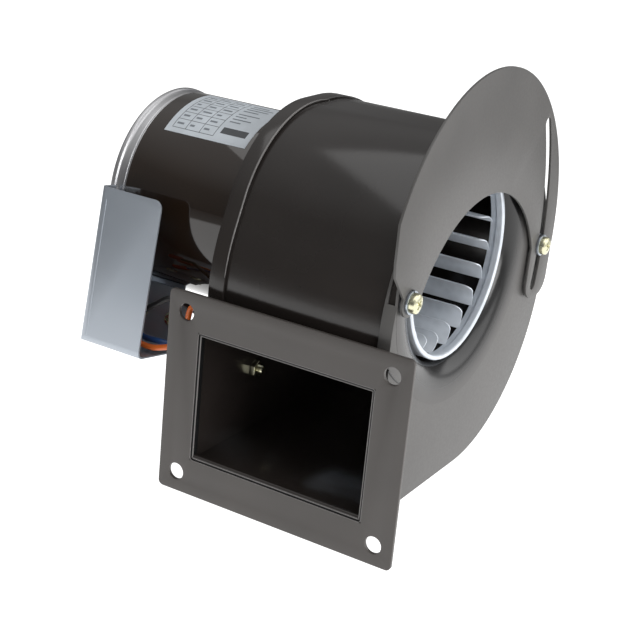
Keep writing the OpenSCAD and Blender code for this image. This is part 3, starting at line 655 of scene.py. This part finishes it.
vs, fs = tube([on_box(-91.7, -49.68, z) for z in [-57.5 + i * 1.5 for i in range(37)]], 0.26 * MM, 10)
add_obj("wiring_box_fold_line", from_pydata("wiring_box_fold_line", vs, fs), "housing", MATS["box_zinc"], None, auto=60)

# lap seam of the tongue under the paint on the inlet side, a ridge in near-black enamel: a painted shade line
seam = catmull([fan(38.12, y, z) for (y, z) in ((-55.5, -26.2), (-50.5, -30.6), (-45.2, -34.2), (-39.4, -36.8), (-34.2, -38.6))], 8)
vs, fs = tube(seam, lambda t: (0.42 - 0.25 * t) * MM, 10)
add_obj("side_plate_seam", from_pydata("side_plate_seam", vs, fs), "housing", MATS["venturi_paint"], None, auto=60)

# ------------------------------------------------------------------ stage, light, camera
floor_me = bpy.data.meshes.new("floor")
S = 6.0
floor_me.from_pydata([(-S, -S, -0.0405), (S, -S, -0.0405), (S, S, -0.0405), (-S, S, -0.0405)], [], [(0, 1, 2, 3)])
floor = bpy.data.objects.new("floor", floor_me)
bpy.context.scene.collection.objects.link(floor)
fm, ft, fb = new_mat("floor_white")
fcol = ramp(ft, noise(ft, coords(ft), 3, 2), [(0.3, (0.34, 0.34, 0.34)), (0.7, (0.37, 0.37, 0.37))])
ft.links.new(fcol, fb.inputs["Base Color"])
fb.inputs["Roughness"].default_value = 0.9
fb.inputs["Specular IOR Level"].default_value = 0.1
fb.inputs["Emission Color"].default_value = (1, 1, 1, 1)
# the floor glows: evenly white to the camera; to all other rays a disc within 0.52 m of the origin glows at 1.15, down
# to 0.03 beyond 0.62 m, as a lit table that lights the object from below and shows in its reflections
flp = ft.nodes.new("ShaderNodeLightPath")
fdist = ft.nodes.new("ShaderNodeVectorMath"); fdist.operation = "LENGTH"
ft.links.new(coords(ft), fdist.inputs[0])
table = to_range(ft, fdist.outputs["Value"], 1.15, 0.03, 0.52, 0.62)
fpick = ft.nodes.new("ShaderNodeMath"); fpick.operation = "MAXIMUM"
ft.links.new(table, fpick.inputs[0])
ft.links.new(to_range(ft, flp.outputs["Is Camera Ray"], 0.0, 1.0, 0.0, 1.0), fpick.inputs[1])
ft.links.new(fpick.outputs[0], fb.inputs["Emission Strength"])
floor_me.materials.append(fm)

w = bpy.data.worlds.new("studio")
bpy.context.scene.world = w
w.use_nodes = True
wt = w.node_tree
bg = wt.nodes["Background"]
wtc = wt.nodes.new("ShaderNodeTexCoord")
wsep = wt.nodes.new("ShaderNodeSeparateXYZ")
wt.links.new(wtc.outputs["Generated"], wsep.inputs[0])
dome = ramp(wt, to_range(wt, wsep.outputs["Z"], 0.0, 1.0, -1.0, 1.0), [(0.0, 0.10), (0.50, 0.14), (0.68, 0.20), (0.86, 0.50), (1.0, 0.62)])
side = ramp(wt, to_range(wt, wsep.outputs["X"], 0.0, 1.0, -1.0, 1.0), [(0.0, 0.0), (0.62, 0.0), (0.82, 0.35), (1.0, 0.6)])
wadd = wt.nodes.new("ShaderNodeMix"); wadd.data_type = "RGBA"; wadd.blend_type = "ADD"
wadd.inputs[0].default_value = 1.0
wt.links.new(dome, wadd.inputs[6]); wt.links.new(side, wadd.inputs[7])
dome = wadd.outputs[2]
lp = wt.nodes.new("ShaderNodeLightPath")
wt.links.new(mix_col(wt, lp.outputs["Is Camera Ray"], dome, (1, 1, 1)), bg.inputs[0])
bg.inputs[1].default_value = 1.0


def area(name, loc, target, size, power, size_y=None, color=(1, 1, 1)):
    L = bpy.data.lights.new(name, "AREA")
    L.shape = "RECTANGLE"
    L.size = size
    L.size_y = size_y or size
    L.energy = power
    L.color = color
    o = bpy.data.objects.new(name, L)
    bpy.context.scene.collection.objects.link(o)
    o.location = loc
    d = Vector(target) - Vector(loc)
    o.rotation_euler = d.to_track_quat("-Z", "Y").to_euler()
    return o


T = (0.0, 0.05, 0.05)
area("right_back", (0.95, 0.95, 0.30), T, 1.0, 4.3, 1.0)
area("right_front", (1.15, -0.30, 0.30), T, 0.6, 7.0, 0.6)
area("top_wide", (0.1, -0.1, 1.5), T, 1.6, 9.0, 1.6)

cam = bpy.data.cameras.new("camera")
cam.sensor_width = 36.0
cam.lens = 1460.7073 / 640 * 36.0
cam.shift_x = (320 - 310.6612) / 640
cam.shift_y = (280.9528 - 320) / 640
cam.clip_start = 0.01
cam.clip_end = 50
co = bpy.data.objects.new("camera", cam)
bpy.context.scene.collection.objects.link(co)
R0 = Vector((0.84788471, 0.52237674, 0.09063146))
R1 = Vector((0.24256509, -0.23020499, -0.94242657))
R2 = Vector((-0.4714379, 0.82105311, -0.32189765))
m = Matrix.Identity(4)
for i in range(3):
    m[i][0], m[i][1], m[i][2] = R0[i], -R1[i], -R2[i]
m[0][3], m[1][3], m[2][3] = 0.24409192, -0.47305319 + AY * MM, 0.1614165 + AZ * MM
co.matrix_world = m
bpy.context.scene.camera = co
bpy.context.scene.view_settings.view_transform = "Standard"

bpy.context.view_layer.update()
